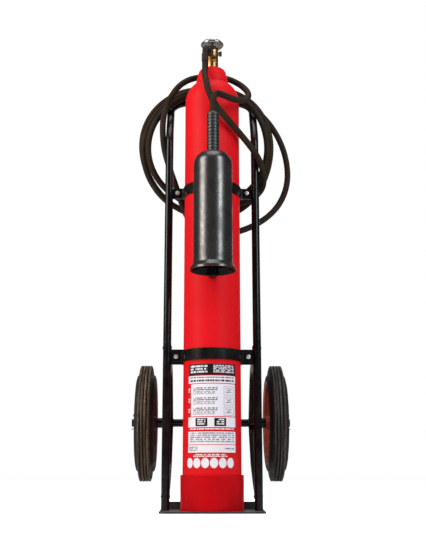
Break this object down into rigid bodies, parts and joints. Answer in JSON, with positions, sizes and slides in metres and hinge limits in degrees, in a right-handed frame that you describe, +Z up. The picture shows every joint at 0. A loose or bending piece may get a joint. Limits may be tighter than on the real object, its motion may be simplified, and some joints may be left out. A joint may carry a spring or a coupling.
{
  "type": "wheeled fire extinguisher",
  "caption": "Carbon dioxide fire extinguisher clamped to a two-wheeled tube trolley, with a hose looped behind its neck and a discharge horn hung in front.",
  "frame": {"origin": "centre of the cylinder's axis on the floor, on the foot plate's underside", "axes": "+Z up; -Y is the front, where the horn hangs; the wheels are behind at +Y; +X is to the right seen from the front"},
  "size_m": [0.4243, 0.5505, 1.209],
  "materials": {
    "frame_black": "gloss",
    "plate_black": "worn matt",
    "band_black": "satin",
    "cylinder_red": "gloss",
    "boot_red": "gloss",
    "label_film": "satin",
    "valve_brass": "machined",
    "wheel_nickel": "polished",
    "zinc_steel": "plated",
    "tyre_rubber": "worn",
    "rim_red": "dull",
    "hose_rubber": "satin",
    "ferrule_black": "satin",
    "horn_plastic": "gloss",
    "grip_rubber": "satin",
    "bush_nylon": "matt",
    "inner_steel": "drawn",
    "seal_rubber": "matt"
  },
  "bodies": {
    "trolley": {"base_plate": "plate_black", "left_leg": "frame_black", "right_leg": "frame_black", "handle_arch": "frame_black", "left_strut": "frame_black", "right_strut": "frame_black", "axle": "frame_black", "inner_spacers": "frame_black", "outer_washers": "zinc_steel", "split_pins": "zinc_steel", "cylinder_shell": "cylinder_red", "foot_boot": "boot_red", "neck_collar": "boot_red", "label": "label_film", "upper_saddle": "band_black", "lower_saddle": "band_black", "upper_band": "band_black", "lower_band": "band_black", "band_bolts": "zinc_steel", "band_nuts": "zinc_steel", "band_washers": "zinc_steel", "valve_body": "valve_brass", "neck_seal": "seal_rubber", "dip_tube": "inner_steel", "burst_disc": "inner_steel", "burst_plug": "valve_brass", "side_screw": "ferrule_black", "bonnet_nut": "valve_brass", "gland_packing": "seal_rubber", "outlet_seal": "seal_rubber", "outlet_nut": "ferrule_black", "hose_tail": "ferrule_black", "valve_ferrule": "ferrule_black", "hose_valve_run": "hose_rubber", "hose_coil": "hose_rubber", "hose_horn_run": "hose_rubber", "horn_hook": "band_black", "hook_screws": "zinc_steel"},
    "left_wheel": {"left_tyre": "tyre_rubber", "left_rim": "rim_red", "left_bush": "bush_nylon"},
    "right_wheel": {"right_tyre": "tyre_rubber", "right_rim": "rim_red", "right_bush": "bush_nylon"},
    "valve_seat": {"seat_disc": "bush_nylon"},
    "handwheel_set": {"spindle": "inner_steel", "handwheel": "wheel_nickel", "handwheel_nut": "zinc_steel"},
    "horn_set": {"horn": "horn_plastic", "horn_grip": "grip_rubber", "horn_nozzle": "valve_brass", "horn_ferrule": "inner_steel"}
  },
  "joints": [
    {"name": "left_wheel_spin", "type": "hinge", "parent": "trolley", "child": "left_wheel", "pos_m": [-0.17, 0.206, 0.217], "axis": [1, 0, 0], "continuous": true},
    {"name": "right_wheel_spin", "type": "hinge", "parent": "trolley", "child": "right_wheel", "pos_m": [0.17, 0.206, 0.217], "axis": [1, 0, 0], "continuous": true},
    {"name": "seat_lift", "type": "slide", "parent": "trolley", "child": "valve_seat", "axis": [0, 0, 1], "range_m": [0, 0.004]},
    {"name": "handwheel_turn", "type": "hinge", "parent": "valve_seat", "child": "handwheel_set", "pos_m": [0, 0, 1.2], "axis": [0, 0, 1], "range_deg": [0, 720]},
    {"name": "horn_lift", "type": "slide", "parent": "trolley", "child": "horn_set", "axis": [0, 0, 1], "range_m": [0, 0.06], "deforming": ["hose_horn_run"]}
  ],
  "couplings": [
    {"joint": "seat_lift", "follows": "handwheel_turn", "m_per_rad": 0.00031831}
  ]
}
